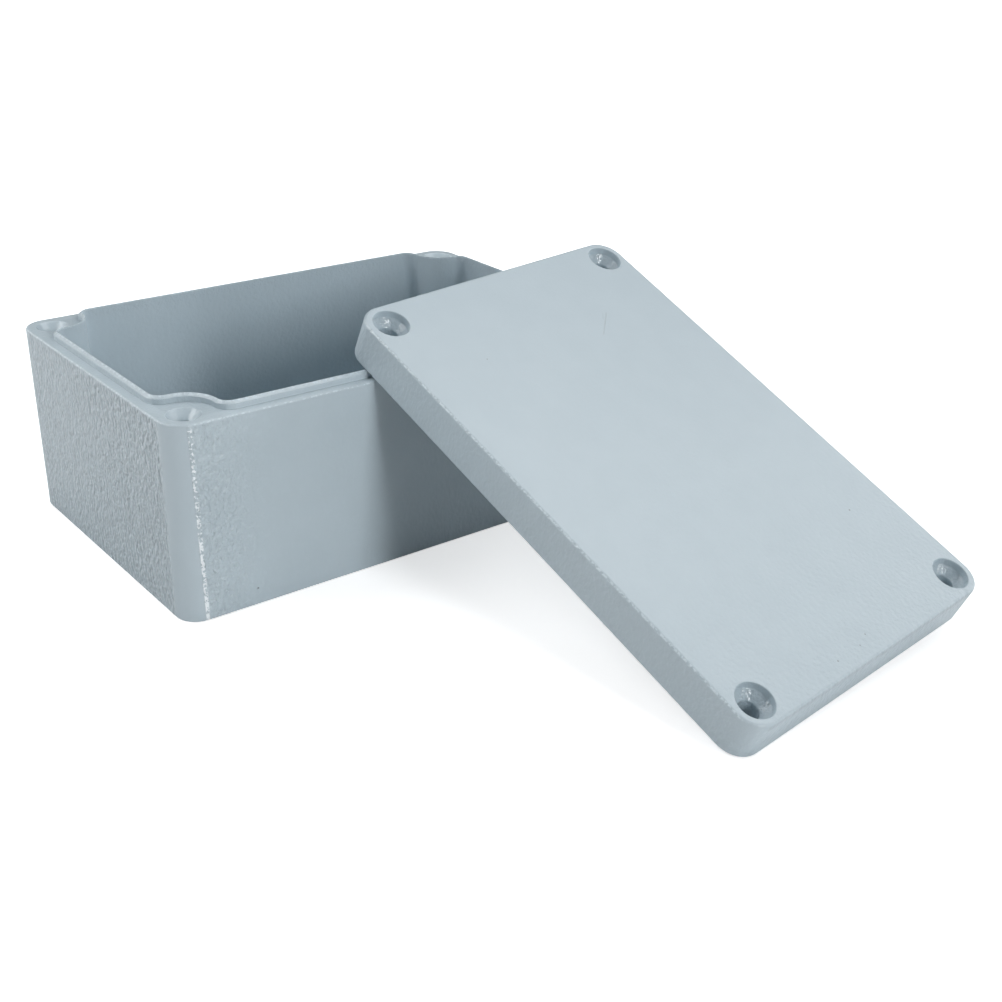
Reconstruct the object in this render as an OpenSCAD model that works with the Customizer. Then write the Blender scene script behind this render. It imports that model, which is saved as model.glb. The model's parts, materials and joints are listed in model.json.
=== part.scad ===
// Two-part die cast enclosure: a deep base standing on its floor, with its lid
// taken off and leaning on the front rim. Millimetres, +Z up, the origin at the
// middle of the base's underside. X runs along the long front wall.

/* [Body] */
// Outer length of the closed box
body_l = 125; // [110:1:180]
// Outer width of the closed box
body_w = 80; // [70:1:120]
// Height of the base from the floor to the sealing ledge
base_h = 46; // [40:0.1:60]
// Wall thickness at the rim
wall = 3.4; // [3.2:0.1:3.6]
// Thickness of the base's floor
floor_t = 3; // [2:0.1:5]
// Outer corner radius at the parting line
corner_r = 5.8; // [5:0.1:6]
// Lean of every cast wall away from the parting line, in degrees
lean = 0.8; // [0.2:0.1:1]
// Radius along the outer edges
edge_r = 0.5; // [0.3:0.1:0.8]

/* [Corner screws] */
// Distance of each screw axis from both outer faces
hole_in = 6; // [6:0.1:6.5]
// Tapping bore of the thread in the base
tap_d = 3.3; // [3:0.1:4]
// Depth of the tapping bore below the ledge
tap_depth = 18; // [10:1:24]
// Diameter of the conical mouth in the ledge
mouth_d = 7.6; // [6:0.1:8]
// Depth of the conical mouth
mouth_depth = 2; // [1:0.1:3]
// Radius of the corner boss inside the base
boss_r = 7.8; // [7.6:0.1:8.5]

/* [Sealing rim] */
// Thickness of the tongue, whose inner face runs on into the wall
tongue_w = 0.95; // [0.9:0.05:1.1]
// Height of the tongue's crest above the ledge
tongue_h = 1.8; // [1.4:0.1:2]
// Width of the slope from the crest down to the tongue's outer face
slope_w = 0.75; // [0.6:0.05:0.8]
// Height of that slope
slope_h = 0.55; // [0.5:0.05:0.7]
// Clearance between tongue and groove on each side
groove_gap = 0.25; // [0.15:0.05:0.3]
// Depth of the groove in the lid
groove_depth = 2.9; // [2.7:0.1:3.2]
// Thickness of the gasket at the bottom of the groove
gasket_t = 1.3; // [1:0.1:1.5]
// Gap left on each side of the gasket
gasket_gap = 0.2; // [0.1:0.05:0.3]

/* [Lid] */
// Height of the lid
lid_h = 10; // [9:0.1:14]
// Thickness of the lid's plate
plate_t = 3.2; // [2.5:0.1:4]
// Thickness of the wall inside the groove
groove_wall = 1.3; // [1.2:0.1:1.6]
// Radius along the lid's upper edges
lid_edge_r = 0.7; // [0.4:0.1:1]
// Diameter of the screw's recess
recess_d = 8.3; // [7.5:0.1:8.5]
// Depth of the straight part of the recess
recess_depth = 1.7; // [1:0.1:2.5]
// Depth of the conical screw seat under it
seat_depth = 1.7; // [1:0.1:2]
// Clearance hole for the screw
screw_hole_d = 4.6; // [4.3:0.1:5]

/* [Mounting pillars] */
// Spacing of the pillars along the box
pillar_x = 80; // [60:1:84]
// Spacing of the pillars across the box
pillar_y = 48; // [40:1:50]
// Diameter at the pillar's top
pillar_d = 6.5; // [6:0.1:7]
// Height of the pillars above the floor
pillar_h = 5; // [3:0.5:8]
// Pilot bore in each pillar
pilot_d = 2.5; // [2:0.1:3]
// Depth of the pilot bore
pilot_depth = 5.5; // [3:0.5:6]

/* [Leaning lid] */
// Distance of the lid's middle to the right of the box's middle
lid_shift = 30.7; // [25:0.1:35]
// Length of lid that reaches past the rim it rests on
lid_past_rim = 12; // [10:0.1:20]
// Turn of the lid on its slope, away from straight down, in degrees
lid_swing = 5.55; // [4:0.05:8]
// Clearance between the lid and the rim it rests on
rest_gap = 0.12; // [0.05:0.01:0.2]

/* [Hidden] */
$fn = 48;
eps = 0.02;
bend_steps = 5;
swerve_steps = 8;
drill_tip = 31;
pilot_mouth = 0.5;
tongue_root = 2;
pillar_root = 1;
floor_gap = 0.02;
screw_x = body_l / 2 - hole_in;
screw_y = body_w / 2 - hole_in;
cavity_depth = base_h - floor_t;
pillar_len = pillar_h + pillar_root;
fillet_x = screw_x - boss_r - hole_in + wall;
fillet_y = screw_y - boss_r - hole_in + wall;
ledge_w = wall - tongue_w;
groove_out = ledge_w - groove_gap;
groove_in = wall + groove_gap;
hollow_in = groove_in + groove_wall;
hollow_depth = lid_h - plate_t;
rim_h = base_h + tongue_h;
shoulder_h = rim_h - slope_h;
corner_reach = (body_l / 2 - corner_r) * cos(lid_swing)
    + (body_w / 2 - corner_r) * sin(lid_swing) + corner_r - edge_r;
lid_slope = asin(rim_h / (body_l / 2 - lid_past_rim + corner_reach));
lid_z = floor_gap + corner_reach * sin(lid_slope) + edge_r * (1 - cos(lid_slope));
lid_y = ledge_w + slope_w - body_w / 2
    - ((rim_h - lid_z) * cos(lid_slope) + rest_gap) / sin(lid_slope);

// Repeats a shape of the +X +Y quadrant in all four.
module four_ways() {
    children();
    mirror([1, 0, 0]) children();
    mirror([0, 1, 0]) children();
    mirror([1, 0, 0]) mirror([0, 1, 0]) children();
}

module at_screws() {
    for (sx = [-1, 1], sy = [-1, 1])
        translate([sx * screw_x, sy * screw_y, 0]) children();
}

// Keeps a length to a thousandth of a millimetre.
function tidy(v) = round(v * 1000) / 1000;

// Points along a bend from angle a0 to a1.
function bend(x, y, r, a0, a1, steps = bend_steps) =
    [for (i = [0:steps]) let (t = a0 + (a1 - a0) * i / steps)
        [tidy(x + r * cos(t)), tidy(y + r * sin(t))]];

// Side view of a cast block: widest near z = 0, leaning in to z = h, both edges round.
// full = true gives both sides, full = false only the half right of the axis.
module block_profile(half, h, low_r, top_r, full) {
    low_x = half - low_r * tan(lean) - low_r / cos(lean);
    top_x = half - (h - top_r) * tan(lean) - top_r / cos(lean);
    side = concat(
        bend(low_x, low_r, low_r, -90, lean),
        bend(top_x, h - top_r, top_r, lean, 90)
    );
    last = len(side) - 1;
    other = full ? [for (i = [last:-1:0]) [-side[i][0], side[i][1]]] : [[0, h], [0, 0]];
    polygon(concat(side, other));
}

// Outer shape shared by base and lid, from the parting line upwards.
module cast_block(h, low_r, top_r) {
    rotate([90, 0, 0])
        linear_extrude(height = body_w - 2 * corner_r, center = true)
            block_profile(body_l / 2, h, low_r, top_r, true);
    rotate([90, 0, 90])
        linear_extrude(height = body_l - 2 * corner_r, center = true)
            block_profile(body_w / 2, h, low_r, top_r, true);
    four_ways()
        translate([body_l / 2 - corner_r, body_w / 2 - corner_r, 0])
            rotate_extrude(angle = 90)
                block_profile(corner_r, h, low_r, top_r, false);
}

// Each fillet beside a boss has its centre level with the screw, so that at any distance
// from the walls the fillet and the boss have the same centres and meet smoothly.
function fillet_r(inset) = hole_in - inset;
function round_screw_r(inset) = boss_r - wall + inset;

// Wedge between two opposite walls that lean together by s with height.
module leaning_slab(half, h, s, len) {
    rotate([90, 0, 0])
        linear_extrude(height = len, center = true)
            polygon([[-half, 0], [half, 0], [half - s, h], [s - half, h]]);
}

// Shape that follows the walls at a distance and swerves round the screws. Its
// mouth is at z = 0, and it narrows by s on every side up to z = h.
module inside_walls(inset, h, s) {
    r = fillet_r(inset);
    difference() {
        union() {
            leaning_slab(body_l / 2 - inset, h, s, 2 * fillet_y);
            rotate([0, 0, 90]) leaning_slab(body_w / 2 - inset, h, s, 2 * fillet_x);
            four_ways() {
                translate([fillet_x - r, fillet_y - r, 0])
                    cube([screw_x - fillet_x + r, screw_y - fillet_y + r, h]);
                translate([fillet_x, screw_y, 0]) cylinder(h = h, r1 = r, r2 = r - s);
                translate([screw_x, fillet_y, 0]) cylinder(h = h, r1 = r, r2 = r - s);
            }
        }
        at_screws()
            cylinder(h = h, r1 = round_screw_r(inset), r2 = round_screw_r(inset) + s);
    }
}

// Hollow with cast, leaning walls.
module cast_hollow(inset, depth) {
    translate([0, 0, -eps]) inside_walls(inset, depth + eps, tidy(depth * tan(lean)));
}

// Upright ring between two such shapes.
module rim_ring(out, in, h) {
    difference() {
        inside_walls(out, h, 0);
        translate([0, 0, -eps]) inside_walls(in, h + 2 * eps, 0);
    }
}

// Points of one quarter of such a shape's outline, from a long wall to a short one.
function quarter_outline(inset) =
    let (
        r = fillet_r(inset),
        swerve = bend(screw_x, screw_y, round_screw_r(inset), 180, 270, swerve_steps)
    )
        concat(
            bend(fillet_x, screw_y, r, 90, 0, swerve_steps),
            [for (i = [1:swerve_steps - 1]) swerve[i]],
            bend(screw_x, fillet_y, r, 90, 0, swerve_steps)
        );

// All four quarters in one closed loop.
function mirrored(points, sx, sy) = [for (p = points) [sx * p[0], sy * p[1]]];
function backwards(points) = [for (i = [len(points) - 1:-1:0]) points[i]];
function whole_outline(quarter) =
    concat(
        quarter,
        backwards(mirrored(quarter, 1, -1)),
        mirrored(quarter, -1, -1),
        backwards(mirrored(quarter, -1, 1))
    );

// Blind tapping bore with a conical mouth at z = 0 and a drill point at its bottom.
module tapped_hole(d, depth, mouth, mouth_t) {
    rotate_extrude()
        polygon([
            [0, -depth - d / 2 * tan(drill_tip)],
            [d / 2, -depth],
            [d / 2, -mouth_t],
            [mouth / 2, 0],
            [mouth / 2, eps],
            [0, eps]
        ]);
}

module at_pillars() {
    for (sx = [-1, 1], sy = [-1, 1])
        translate([sx * pillar_x / 2, sy * pillar_y / 2, floor_t]) children();
}

module base() {
    color("#b4bfc5")
        difference() {
            union() {
                difference() {
                    union() {
                        translate([0, 0, base_h]) mirror([0, 0, 1])
                            cast_block(base_h, edge_r, edge_r);
                        translate([0, 0, shoulder_h]) {
                            inside_walls(ledge_w, slope_h, slope_w);
                            mirror([0, 0, 1])
                                inside_walls(ledge_w, shoulder_h - base_h + tongue_root, 0);
                        }
                    }
                    translate([0, 0, rim_h]) mirror([0, 0, 1])
                        cast_hollow(wall, cavity_depth + tongue_h);
                }
                at_pillars()
                    translate([0, 0, -pillar_root])
                        cylinder(h = pillar_len, d1 = pillar_d + 2 * pillar_len * tan(lean),
                            d2 = pillar_d);
            }
            translate([0, 0, base_h])
                at_screws() tapped_hole(tap_d, tap_depth, mouth_d, mouth_depth);
            translate([0, 0, pillar_h])
                at_pillars() tapped_hole(pilot_d, pilot_depth, pilot_d + 1, pilot_mouth);
        }
}

// Recess, conical seat and clearance hole of a lid screw.
module lid_screw_hole() {
    rotate_extrude()
        polygon([
            [0, -eps],
            [screw_hole_d / 2, -eps],
            [screw_hole_d / 2, lid_h - recess_depth - seat_depth],
            [recess_d / 2, lid_h - recess_depth],
            [recess_d / 2, lid_h + eps],
            [0, lid_h + eps]
        ]);
}

// Leans a shape that is modelled on the lid's sealing face. Its lowest corner stands
// on the floor, and its sealing face lies on the crest of the front tongue.
module leaning() {
    translate([lid_shift, lid_y, lid_z])
        rotate([lid_slope, 0, 0])
            rotate([0, 0, lid_swing - 90]) children();
}

module lid() {
    color("#c0ced6")
        leaning()
            difference() {
                cast_block(lid_h, edge_r, lid_edge_r);
                cast_hollow(hollow_in, hollow_depth);
                translate([0, 0, -eps]) rim_ring(groove_out, groove_in, groove_depth + eps);
                at_screws() lid_screw_hole();
            }
}

module gasket() {
    color("#2b2d2f")
        leaning()
            translate([0, 0, groove_depth - gasket_t])
                difference() {
                    linear_extrude(height = gasket_t)
                        polygon(whole_outline(quarter_outline(groove_out + gasket_gap)));
                    translate([0, 0, -eps])
                        linear_extrude(height = gasket_t + 2 * eps)
                            polygon(whole_outline(quarter_outline(groove_in - gasket_gap)));
                }
}

base();
lid();
gasket();
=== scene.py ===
import json
import math

import bpy
from mathutils import Matrix, Vector

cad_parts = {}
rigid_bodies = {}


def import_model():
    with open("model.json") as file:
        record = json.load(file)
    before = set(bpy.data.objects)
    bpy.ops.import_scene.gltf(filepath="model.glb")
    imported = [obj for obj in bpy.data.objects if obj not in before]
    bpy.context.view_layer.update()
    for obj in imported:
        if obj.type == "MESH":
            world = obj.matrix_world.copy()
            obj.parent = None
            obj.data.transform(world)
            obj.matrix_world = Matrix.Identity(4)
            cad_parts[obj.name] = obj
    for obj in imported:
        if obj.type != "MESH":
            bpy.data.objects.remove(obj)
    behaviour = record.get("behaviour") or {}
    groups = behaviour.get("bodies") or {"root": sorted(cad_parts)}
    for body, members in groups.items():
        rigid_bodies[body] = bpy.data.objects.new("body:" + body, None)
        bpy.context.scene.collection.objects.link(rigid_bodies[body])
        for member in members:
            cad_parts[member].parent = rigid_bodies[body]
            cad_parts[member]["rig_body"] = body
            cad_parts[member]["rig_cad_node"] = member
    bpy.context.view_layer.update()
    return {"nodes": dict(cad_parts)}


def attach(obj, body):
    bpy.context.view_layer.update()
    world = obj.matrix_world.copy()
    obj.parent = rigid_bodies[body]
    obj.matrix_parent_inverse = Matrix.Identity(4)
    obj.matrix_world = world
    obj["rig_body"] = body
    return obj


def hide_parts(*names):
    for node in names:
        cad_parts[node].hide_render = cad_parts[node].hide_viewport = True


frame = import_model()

mm = 0.001
print("frame loaded:", sorted(frame["nodes"]))


def inMm(*lengths):
    return [length * mm for length in lengths]


class Wire:
    # A socket that can be written into sums and products.
    def __init__(self, paint, socket):
        self.paint = paint
        self.socket = socket

    def math(self, operation, first, second=None):
        inputs = {0: first} if second is None else {0: first, 1: second}
        return self.paint.node("ShaderNodeMath", {"operation": operation}, inputs)

    def __add__(self, other):
        return self.math("ADD", self, other)

    def __sub__(self, other):
        return self.math("SUBTRACT", self, other)

    def __rsub__(self, other):
        return self.math("SUBTRACT", other, self)

    def __mul__(self, other):
        return self.math("MULTIPLY", self, other)

    __radd__ = __add__
    __rmul__ = __mul__

    def most(self, other):
        return self.math("MAXIMUM", self, other)

    def least(self, other):
        return self.math("MINIMUM", self, other)

    def size(self):
        return self.math("ABSOLUTE", self)


class Paint:
    # The nodes of one material or world, with a method that adds any node.
    def __init__(self, owner, output="ShaderNodeOutputMaterial"):
        owner.use_nodes = True
        self.owner = owner
        self.tree = owner.node_tree
        self.tree.nodes.clear()
        self.out = self.tree.nodes.new(output)

    def node(self, kind, settings=None, inputs=None, output=0):
        made = self.tree.nodes.new(kind)
        for key, value in (settings or {}).items():
            setattr(made, key, value)
        for key, value in (inputs or {}).items():
            if isinstance(value, Wire):
                self.tree.links.new(value.socket, made.inputs[key])
            else:
                made.inputs[key].default_value = value
        return Wire(self, made.outputs[output])

    def place(self):
        return self.node("ShaderNodeTexCoord", output="Object")

    def placeOn(self, local):
        # The same place in the own axes of a piece that lies at an angle.
        back = local.inverted()
        return self.node("ShaderNodeMapping", {"vector_type": "POINT"}, {
            "Vector": self.place(), "Location": back.translation, "Rotation": back.to_euler("XYZ")})

    def parts(self, vector):
        split = self.node("ShaderNodeSeparateXYZ", {}, {0: vector}).socket.node
        return [Wire(self, split.outputs[i]) for i in range(3)]

    def noise(self, vector, size, detail=2.0, rough=0.5):
        # size is the width of one bump in metres
        values = {"Vector": vector, "Scale": 1 / size, "Detail": detail, "Roughness": rough}
        return self.node("ShaderNodeTexNoise", {"noise_dimensions": "3D"}, values)

    def ripple(self, vector, size, height, detail=2.0, rough=0.5):
        # noise lies round 0.5, so this goes as far below zero as above it
        return (self.noise(vector, size, detail, rough) - 0.5) * height

    def ease(self, value, low, high, start=0.0, end=1.0):
        kind = {"interpolation_type": "SMOOTHSTEP"}
        limits = {"Value": value, "From Min": low, "From Max": high, "To Min": start, "To Max": end}
        return self.node("ShaderNodeMapRange", kind, limits)

    def band(self, value, low, high, soft):
        # 1 from low to high, fading over soft on both sides
        return self.ease(value, low - soft, low) * self.ease(value, high, high + soft, 1, 0)

    def spot(self, place, centre, radius, soft):
        settings = {"operation": "DISTANCE"}
        away = self.node("ShaderNodeVectorMath", settings, {0: place, 1: centre}, "Value")
        return self.ease(away, radius, radius + soft, 1, 0)

    def blend(self, mask, first, second):
        return self.node("ShaderNodeMix", {"data_type": "RGBA"}, {0: mask, 6: first, 7: second}, 2)

    def bump(self, height, distance=1.0):
        # a height in metres has the distance 1
        return self.node("ShaderNodeBump", {}, {"Height": height, "Distance": distance})

    def finish(self, shader):
        self.tree.links.new(shader.socket, self.out.inputs["Surface"])
        return self.owner


meshValues = {
    "weld": 0.002 * mm,  # corners closer than this become one
    "flat": 0.4,  # degrees by which the triangles of one flat face may differ
    "sharp": 40,  # edges of more degrees are rounded by the coat
    "crease": 35,  # edges of more degrees aren't shaded smooth
    "faceWeight": 100,  # how strongly large faces steer the shading of small ones beside them
}


def mergedCopy(node, name):
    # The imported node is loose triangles, so a copy is welded and its flat faces are made whole.
    bpy.ops.object.select_all(action="DESELECT")
    source = frame["nodes"][node]
    source.select_set(True)
    bpy.context.view_layer.objects.active = source
    bpy.ops.object.duplicate()
    piece = bpy.context.view_layer.objects.active
    piece.name = piece.data.name = name
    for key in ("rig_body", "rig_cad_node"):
        if key in piece:
            del piece[key]
    bpy.ops.object.parent_clear(type="CLEAR_KEEP_TRANSFORM")
    piece.data.materials.clear()
    bpy.ops.object.mode_set(mode="EDIT")
    bpy.ops.mesh.select_all(action="SELECT")
    bpy.ops.mesh.customdata_custom_splitnormals_clear()
    bpy.ops.mesh.remove_doubles(threshold=meshValues["weld"])
    bpy.ops.mesh.normals_make_consistent(inside=False)
    bpy.ops.mesh.dissolve_limited(angle_limit=math.radians(meshValues["flat"]))
    bpy.ops.object.mode_set(mode="OBJECT")
    return piece


def softenEdges(piece, v):
    # The coat rounds every edge that the mould leaves sharp.
    bpy.context.view_layer.objects.active = piece
    bevel = piece.modifiers.new("coatedEdges", "BEVEL")
    bevel.width = v["rounding"]
    bevel.segments = v["roundingSteps"]
    bevel.limit_method = "ANGLE"
    bevel.angle_limit = math.radians(meshValues["sharp"])
    bevel.use_clamp_overlap = False
    bevel.miter_outer = "MITER_ARC"
    bpy.ops.object.modifier_apply(modifier=bevel.name)


def finishPiece(piece, node, material):
    bpy.ops.object.select_all(action="DESELECT")
    piece.select_set(True)
    bpy.context.view_layer.objects.active = piece
    bpy.ops.object.shade_smooth_by_angle(angle=math.radians(meshValues["crease"]))
    even = piece.modifiers.new("evenNormals", "WEIGHTED_NORMAL")
    even.mode = "FACE_AREA"
    even.weight = meshValues["faceWeight"]
    even.keep_sharp = True
    bpy.ops.object.modifier_apply(modifier=even.name)
    piece.data.materials.append(material)
    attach(piece, "root")
    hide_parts(node)
    print(piece.name, len(piece.data.polygons), "faces")


# What both castings share: the sizes that their finish follows, and the powder coat.
castingValues = {
    "halfLength": 62.5 * mm,
    "halfWidth": 40 * mm,
    "screwX": 56.5 * mm,
    "screwY": 34 * mm,
    "holeFade": 0.9,  # share of a screw hole's squared radius where its gloss begins to fade
    "colour": (0.457, 0.541, 0.592, 1),
    "shade": (0.446, 0.530, 0.581, 1),
    # the colour of painted shade, in the wrinkle valleys and below the lid's near short edge
    "paintedShade": (0.33, 0.395, 0.435, 1),
    "dirt": (0.13, 0.14, 0.15, 1),
    # the colour of lighter paint, partly wear and partly painted highlight
    "wearAndHighlight": (0.60, 0.69, 0.74, 1),
    # the colour of a painted highlight
    "paintedHighlight": (0.86, 0.92, 0.96, 1),
    "cloud": 9 * mm,  # width of the faint clouds between colour and shade
    "cloudRange": (0.3, 0.7),
    "roughness": 0.31,
    "roughnessSpread": 0.10,
    "smudge": 2.5 * mm,  # width of a rougher or smoother place
    "polish": 0.13,  # how much less rough a glossy place is
    "ior": 1.5,
    "specular": 0.5,
    "wrinkle": 0.95 * mm,  # width of the large wrinkles in the coat
    "grain": 0.5 * mm,  # width of the small ones
    "peel": 1.0 * mm,  # width of the orange peel on smooth walls
    "wrinkleHeight": 1.15 * mm,
    "grainHeight": 0.2 * mm,
    "peelHeight": 0.12 * mm,
    "upright": (1, 1, 0.72),  # the wrinkles are longer upwards
    "coarse": 0.6,  # how ragged the grain of a worn place is
}


def coatHeight(paint, place, strong, smooth, v):
    # Wrinkles where strong is 1, orange peel where smooth is 1.
    tall = paint.node("ShaderNodeMapping", {}, {"Vector": place, "Scale": v["upright"]})
    wrinkle = paint.ripple(tall, v["wrinkle"], v["wrinkleHeight"], detail=1.0)
    grain = paint.ripple(tall, v["grain"], v["grainHeight"], detail=1.0)
    peel = paint.ripple(place, v["peel"], v["peelHeight"])
    return (wrinkle + grain) * strong + peel * smooth


def coatShader(paint, place, height, tints, glossy, v):
    cloud = paint.ease(paint.noise(place, v["cloud"], detail=3.0), *v["cloudRange"])
    colour = paint.blend(cloud, v["colour"], v["shade"])
    for mask, tint in tints:
        colour = paint.blend(mask, colour, v[tint])
    rough = paint.ripple(place, v["smudge"], v["roughnessSpread"], detail=3.0) + v["roughness"]
    return paint.finish(paint.node("ShaderNodeBsdfPrincipled", {}, {
        "Base Color": colour, "Roughness": rough - glossy * v["polish"],
        "Normal": paint.bump(height), "IOR": v["ior"], "Specular IOR Level": v["specular"]}))


def spots(paint, place, marks):
    # The inner half of each mark is full, and the outer half fades.
    total = 0.0
    for centre, radius in marks:
        half = radius * mm / 2
        total = paint.spot(place, Vector(centre) * mm, half, half) + total
    return total


def nearScrews(paint, across, along, v):
    # 1 inside the four screw holes
    gapX, gapY = across - v["screwX"], along - v["screwY"]
    limit = v["holeRadius"] ** 2
    return paint.ease(gapX * gapX + gapY * gapY, limit * v["holeFade"], limit, 1, 0)


# A pair of lengths says where a fade begins and ends. The third of a band is its softness.
baseValues = dict(
    castingValues,
    rounding=0.1 * mm, roundingSteps=2, holeRadius=3.75 * mm,
    # heights, and distances from the outer faces, at which the finishes change
    wallTop=inMm(45.2, 45.8), rimFoot=inMm(45.4, 45.9),
    outerSkin=inMm(-3.0, -2.5), innerSkin=inMm(-3.3, -3.0),
    # the wrinkled part of the end walls, and of the side walls up to the seam
    endAlong=inMm(33.2, 34.8), endAcross=inMm(59, 60.5), endFade=inMm(-34, 36) + [1.0, 0.6],
    sideSeam=inMm(-0.1, 0.4), sideAlong=inMm(37.4, 38.4), sideFade=inMm(38, 57) + [0.06, 0.75],
    insidePeel=0.9, plainPeel=0.2,
    # the seam at the corners: its place, how it drifts with height, and its broken line of painted
    # highlight
    seamAcross=56.8 * mm, seamDrift=0.030, seamBand=inMm(-0.25, 0.3, 0.35), seamAlong=inMm(36, 37),
    grit=0.75 * mm, seamHeight=0.25 * mm, paintedHighlightDrop=2.6, paintedHighlightRange=(0.40, 0.50),
    # raised beads with a painted highlight, and painted shade in the valleys between the wrinkles
    bead=1.2 * mm, beadRange=(0.54, 0.68), beadShare=0.5, beadHeight=0.25 * mm,
    paintedShadeRange=(0.36, 0.52), paintedShadeShare=0.5,
    # wear and painted highlights on the rim
    rimGrain=0.6 * mm, rimHeight=0.16 * mm, speckle=0.8 * mm, speckleRange=(0.45, 0.62),
    crest=inMm(47.2, 47.75), crestSpeckle=0.9, crestPlain=0.3,
    foot=inMm(46.1, 46.3, 0.08), footShare=0.8, tongue=inMm(46.04, 46.1), tongueShare=0.35,
    lip=inMm(45.7, 45.97, 0.1), lipOut=inMm(-0.35, -0.2), ledgeShare=0.25,
    dirtGrain=0.5 * mm, dirtRange=(0.35, 0.5),
    # marks: the place, radius and depth of each pit, and the place and radius of each speck
    pits=[((-23.6, -37.6, 46), 0.35, 0.10), ((-17.8, -37.8, 46), 0.35, 0.10),
          ((-47.2, -34.1, 46.5), 0.35, 0.25), ((-50.2, 30.5, 47.8), 0.5, 0.10)],
    specks=[((-44.6, -39.42, 4.0), 0.40), ((-56.9, -34.6, 45), 0.7), ((-58.5, -23.1, 47.8), 0.5),
            ((-56.0, -31.7, 47.8), 0.45), ((-50.9, -28.3, 47.8), 0.35),
            ((-59.7, -29.2, 47.8), 0.4), ((-52.9, -26.9, 47.8), 0.3)],
)


def baseCoat(v):
    paint = Paint(bpy.data.materials.new("baseCoat"))
    place = paint.place()
    x, y, z = paint.parts(place)
    across, along = x.size(), y.size()
    outward = (across - v["halfLength"]).most(along - v["halfWidth"])
    outside = paint.ease(outward, *v["outerSkin"]) * paint.ease(z, *v["wallTop"], 1, 0)
    inside = paint.ease(outward, *v["innerSkin"], 1, 0)
    outer = 1 - inside
    rim = paint.ease(z, *v["rimFoot"])

    # The corners came smooth out of the mould, up to a seam that drifts by 1.4 mm over the height.
    pastSeam = across - z * v["seamDrift"] - v["seamAcross"]
    onEnd = paint.ease(along, *v["endAlong"], 1, 0) * paint.ease(across, *v["endAcross"]) * outside
    onSide = paint.ease(pastSeam, *v["sideSeam"], 1, 0) * paint.ease(along, *v["sideAlong"])
    onSide = onSide * paint.ease(across, *v["sideFade"]) * outside
    strong = onEnd * paint.ease(y, *v["endFade"]) + onSide
    height = coatHeight(paint, place, strong, inside * v["insidePeel"] + v["plainPeel"], v)

    # Where the coat bridges the seam it is glossier and bumpier. A painted highlight lies on it as a
    # broken bright line that is densest low down.
    seam = paint.band(pastSeam, *v["seamBand"]) * outside * paint.ease(along, *v["seamAlong"])
    grit = paint.noise(place, v["grit"], rough=v["coarse"])
    height = grit * seam * v["seamHeight"] + height
    paintedHighlight = paint.ease(grit - z * v["paintedHighlightDrop"], *v["paintedHighlightRange"]) * seam

    # Raised beads on the side walls, which are also lightened as a painted highlight.
    bead = paint.ease(paint.noise(place, v["bead"], detail=1.0), *v["beadRange"])
    bead = bead * onSide * v["beadShare"]
    height = bead * v["beadHeight"] + height
    # Painted shade darkens the valleys between the wrinkles of the end walls.
    paintedShade = paint.ease(paint.noise(place, v["wrinkle"], detail=1.0), *v["paintedShadeRange"], 1, 0)
    paintedShade = paintedShade * onEnd * v["paintedShadeShare"]

    height = paint.ripple(place, v["rimGrain"], v["rimHeight"], rough=v["coarse"]) * rim + height
    for centre, radius, depth in v["pits"]:
        height = height - paint.spot(place, Vector(centre) * mm, 0.0, radius * mm) * (depth * mm)

    speckle = paint.ease(paint.noise(place, v["speckle"], rough=v["coarse"]), *v["speckleRange"])
    onCrest = paint.ease(z, *v["crest"]) * (speckle * v["crestSpeckle"] + v["crestPlain"])
    onFoot = paint.band(z, *v["foot"]) * outer * v["footShare"]
    onTongue = paint.ease(z, *v["tongue"]) * outer * v["tongueShare"]
    onLip = paint.band(z, *v["lip"]) * paint.ease(outward, *v["lipOut"]) * speckle
    onLedge = rim * outer * v["ledgeShare"]
    # Lighter paint on the crest, the foot and face of the tongue, the ledge and its outer edge, and the
    # beads: partly wear, partly painted highlight.
    wearAndHighlight = onCrest.most(onFoot).most(onTongue).most(onLip).most(onLedge).most(bead).least(1.0)

    dirty = spots(paint, place, v["specks"])
    dirty = dirty * paint.ease(paint.noise(place, v["dirtGrain"]), *v["dirtRange"])
    glossy = seam.most(nearScrews(paint, across, along, v))
    tints = ((paintedShade, "paintedShade"), (wearAndHighlight, "wearAndHighlight"), (paintedHighlight, "paintedHighlight"), (dirty, "dirt"))
    return coatShader(paint, place, height, tints, glossy, v)


castBase = mergedCopy("base", "castBase")
softenEdges(castBase, baseValues)
finishPiece(castBase, "base", baseCoat(baseValues))


# Where the lid lies, in millimetres and degrees, as the part's source has it.
leanValues = {
    "shift": 30.7, "pastRim": 12, "swing": 5.55, "restGap": 0.12, "floorGap": 0.02,
    "length": 125, "width": 80, "cornerRadius": 5.8, "edgeRadius": 0.5,
    "rimHeight": 47.8, "crestInset": 3.2,
}


def leanMatrix(v):
    # Takes the lid's own axes, with the origin in the middle of its sealing face, to its place.
    swing = math.radians(v["swing"])
    reach = (v["length"] / 2 - v["cornerRadius"]) * math.cos(swing)
    reach += (v["width"] / 2 - v["cornerRadius"]) * math.sin(swing)
    reach += v["cornerRadius"] - v["edgeRadius"]
    slope = math.asin(v["rimHeight"] / (v["length"] / 2 - v["pastRim"] + reach))
    z = v["floorGap"] + reach * math.sin(slope) + v["edgeRadius"] * (1 - math.cos(slope))
    y = v["crestInset"] - v["width"] / 2
    y -= ((v["rimHeight"] - z) * math.cos(slope) + v["restGap"]) / math.sin(slope)
    turn = Matrix.Rotation(slope, 4, "X") @ Matrix.Rotation(swing - math.pi / 2, 4, "Z")
    return Matrix.Translation(Vector((v["shift"], y, z)) * mm) @ turn


lidPlace = leanMatrix(leanValues)

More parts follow.
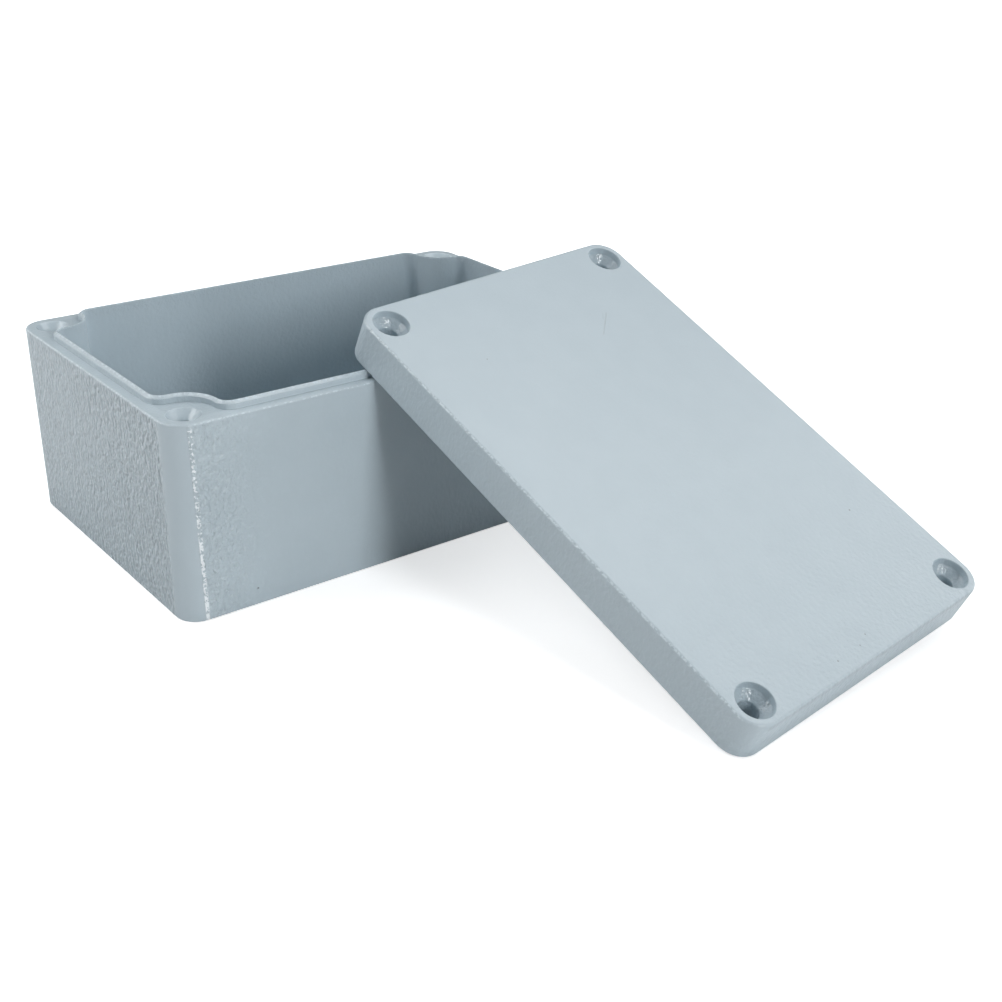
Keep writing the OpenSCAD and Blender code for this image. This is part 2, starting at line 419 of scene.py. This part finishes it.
lidValues = dict(
    castingValues,
    rounding=0.2 * mm, roundingSteps=3, holeRadius=4.15 * mm,
    sideSkin=inMm(-0.9, -0.4), sideWrinkle=0.2,
    peelRise=inMm(-10, 55) + [0.3, 1.6],  # the orange peel grows towards the near end
    holePeel=2.5,
    topFace=inMm(9.7, 9.9),
    # wear and a painted highlight on the long top edges, and a band of painted shade on the near short one
    edgeGrain=0.9 * mm, wearAndHighlightRange=(0.42, 0.55), edgeTop=inMm(9.5, 9.65), longEdge=inMm(-0.55, -0.4),
    edgeHeight=0.25 * mm,
    paintedEdgeShadeBand=inMm(8.7, 9.6, 0.3), paintedEdgeShadeEnd=inMm(61.9, 62.2), paintedEdgeShadeShare=0.5,
    specks=[((32.7, 26.4, 10), 0.28), ((57.4, 0.5, 10), 0.22), ((58.7, -2.9, 10), 0.2),
            ((58.9, -10.7, 10), 0.25), ((-38.7, -20.7, 10), 0.2)],
    speckShare=0.6,
    # start, end, half width and strength of each line, and the shares of its half length and
    # half width where it begins to fade
    scratches=[((-40.6, 19.3), (-34.2, 12.1), 0.22, 1.0), ((-40.7, 18.1), (-38.7, 16.3), 0.15, 0.6)],
    scratchLength=0.8, scratchCore=0.3, scratchDepth=0.05 * mm, scratchDirt=0.15,
)


def scratch(paint, x, y, start, end, width, strength, v):
    start, end = Vector(start) * mm, Vector(end) * mm
    way = (end - start).normalized()
    middle = (start + end) / 2
    reach = (end - start).length / 2
    along = (x - middle.x) * way.x + (y - middle.y) * way.y
    off = (y - middle.y) * way.x - (x - middle.x) * way.y
    line = paint.ease(along.size(), reach * v["scratchLength"], reach, 1, 0)
    return line * paint.ease(off.size(), width * mm * v["scratchCore"], width * mm, 1, 0) * strength


def lidCoat(v, local):
    paint = Paint(bpy.data.materials.new("lidCoat"))
    place = paint.placeOn(local)
    x, y, z = paint.parts(place)
    across, along = x.size(), y.size()
    outward = (across - v["halfLength"]).most(along - v["halfWidth"])
    side = paint.ease(outward, *v["sideSkin"]) * v["sideWrinkle"]
    holes = nearScrews(paint, across, along, v)
    smooth = paint.ease(x, *v["peelRise"]).most(holes * v["holePeel"])
    height = coatHeight(paint, place, side, smooth, v)

    scratched = 0.0
    for start, end, width, strength in v["scratches"]:
        scratched = scratch(paint, x, y, start, end, width, strength, v) + scratched
    scratched = scratched * paint.ease(z, *v["topFace"])
    height = height - scratched * v["scratchDepth"]
    dirty = spots(paint, place, v["specks"]) * v["speckShare"] + scratched * v["scratchDirt"]

    # The long top edges get a grainy bump, a lower roughness, and lighter paint that is partly wear and
    # partly painted highlight.
    onEdge = paint.ease(z, *v["edgeTop"]) * paint.ease(along - v["halfWidth"], *v["longEdge"])
    height = paint.ripple(place, v["edgeGrain"], v["edgeHeight"], detail=1.0) * onEdge + height
    wornEdgeAndHighlight = paint.ease(paint.noise(place, v["edgeGrain"], rough=v["coarse"]), *v["wearAndHighlightRange"])
    # A band of painted shade below the near short top edge stands in for the shading of a rounder edge.
    paintedEdgeShade = paint.band(z, *v["paintedEdgeShadeBand"]) * paint.ease(x, *v["paintedEdgeShadeEnd"]) * v["paintedEdgeShadeShare"]
    tints = ((wornEdgeAndHighlight * onEdge, "wearAndHighlight"), (paintedEdgeShade, "paintedShade"), (dirty, "dirt"))
    return coatShader(paint, place, height, tints, holes.most(onEdge), v)


castLid = mergedCopy("lid", "castLid")
softenEdges(castLid, lidValues)
finishPiece(castLid, "lid", lidCoat(lidValues, lidPlace))


gasketValues = {
    "rounding": 0.15 * mm, "roundingSteps": 2,
    "colour": (0.020, 0.021, 0.022, 1), "specular": 0.3,
    "roughness": 0.75, "roughnessSpread": 0.2, "smudge": 3 * mm,
    "grain": 0.25 * mm, "grainHeight": 0.02 * mm, "coarse": 0.6,
}


def gasketRubber(v, local):
    paint = Paint(bpy.data.materials.new("gasketRubber"))
    place = paint.placeOn(local)
    grain = paint.noise(place, v["grain"], detail=3.0, rough=v["coarse"])
    rough = paint.ripple(place, v["smudge"], v["roughnessSpread"]) + v["roughness"]
    return paint.finish(paint.node("ShaderNodeBsdfPrincipled", {}, {
        "Base Color": v["colour"], "Roughness": rough,
        "Normal": paint.bump(grain, v["grainHeight"]), "Specular IOR Level": v["specular"]}))


seal = mergedCopy("gasket", "sealStrip")
softenEdges(seal, gasketValues)
finishPiece(seal, "gasket", gasketRubber(gasketValues, lidPlace))


stageValues = {
    "floorSize": 30,
    "floorDrop": 0.05 * mm,
    "floorColour": (0.9, 0.9, 0.9, 1),
    "floorGlow": (0.35, 1.2, 0.6, 1.0),  # metres from the middle, and the glow there
    "aim": (0.0, -0.04, 0.03),
    # each lamp: degrees round from the front, degrees up, metres away, width, height, watts
    "lamps": {
        "key": (4.5, 24, 2.4, 0.47, 0.67, 24.0),
        "low": (3, 9, 2.4, 0.47, 0.5, 6.0),
        "nearLeft": (-120, 45, 0.8, 0.5, 0.5, 1.96),
        "backLeft": (-130, 45, 2.4, 1.4, 1.4, 9.5),
        "left": (-150, 14, 2.4, 1.4, 1.4, 13.0),
        "right": (90, 60, 2.4, 1.4, 1.4, 14.1),
        "rightMiddle": (90, 25, 2.4, 1.4, 1.4, 10),
        "rightLow": (65, 10, 2.4, 1.0, 1.0, 8.9),
        "back": (180, 60, 2.4, 1.5, 1.5, 6.4),
        "top": (0, 90, 2.4, 1.8, 1.8, 4.0),
    },
}


def whiteFloor(v):
    paint = Paint(bpy.data.materials.new("whiteFloor"))
    lit = paint.node("ShaderNodeBsdfDiffuse", {}, {"Color": v["floorColour"]})
    # the camera sees the floor turn plain white away from the object
    away = paint.node("ShaderNodeVectorMath", {"operation": "LENGTH"}, {0: paint.place()}, "Value")
    glow = paint.node("ShaderNodeEmission", {}, {"Color": paint.ease(away, *v["floorGlow"])})
    both = paint.node("ShaderNodeAddShader", {}, {0: lit, 1: glow})
    seen = paint.node("ShaderNodeLightPath", output="Is Camera Ray")
    return paint.finish(paint.node("ShaderNodeMixShader", {}, {0: seen, 1: lit, 2: both}))


bpy.ops.object.select_all(action="DESELECT")
bpy.ops.mesh.primitive_plane_add(size=stageValues["floorSize"], location=(0, 0, -stageValues["floorDrop"]))
floor = bpy.context.object
floor.name = "floor"
floor.data.materials.append(whiteFloor(stageValues))


def whiteWorld(world):
    # The world gives no light, and is plain white where the camera looks past the floor.
    paint = Paint(world, "ShaderNodeOutputWorld")
    dark = paint.node("ShaderNodeBackground", {}, {"Strength": 0.0})
    white = paint.node("ShaderNodeBackground", {}, {"Color": (1, 1, 1, 1)})
    seen = paint.node("ShaderNodeLightPath", output="Is Camera Ray")
    return paint.finish(paint.node("ShaderNodeMixShader", {}, {0: seen, 1: dark, 2: white}))


world = bpy.context.scene.world or bpy.data.worlds.new("studio")
bpy.context.scene.world = whiteWorld(world)


def softbox(name, aim, turned, raised, distance, width, height, power):
    turned, raised = math.radians(turned), math.radians(raised)
    level = math.cos(raised)
    away = Vector((math.sin(turned) * level, -math.cos(turned) * level, math.sin(raised)))
    bpy.ops.object.light_add(type="AREA", location=Vector(aim) + away * distance)
    lamp = bpy.context.object
    lamp.name = name + "Lamp"
    lamp.data.shape = "ELLIPSE" if width == height else "RECTANGLE"
    lamp.data.size = width
    lamp.data.size_y = height
    lamp.data.energy = power
    lamp.rotation_euler = away.to_track_quat("Z", "Y").to_euler()


for lampName, lampValues in stageValues["lamps"].items():
    softbox(lampName, stageValues["aim"], *lampValues)

# where the photograph was taken from, and the camera's own axes
cameraValues = {
    "place": (-0.171409, -0.279106, 0.153616),
    "right": (0.784319, -0.619757, 0.027292),
    "up": (0.247212, 0.352597, 0.902530),
    "back": (-0.568972, -0.701125, 0.429760),
    "lens": 49.964, "sensor": 36, "nearest": 0.01,
}
bpy.ops.object.camera_add(location=cameraValues["place"])
camera = bpy.context.object
axes = Matrix([cameraValues[k] for k in ("right", "up", "back")]).transposed()
camera.rotation_euler = axes.to_euler()
camera.data.sensor_fit = "HORIZONTAL"
camera.data.sensor_width = cameraValues["sensor"]
camera.data.lens = cameraValues["lens"]
camera.data.clip_start = cameraValues["nearest"]
bpy.context.scene.camera = camera
bpy.context.scene.view_settings.view_transform = "Standard"
print("stage ready")
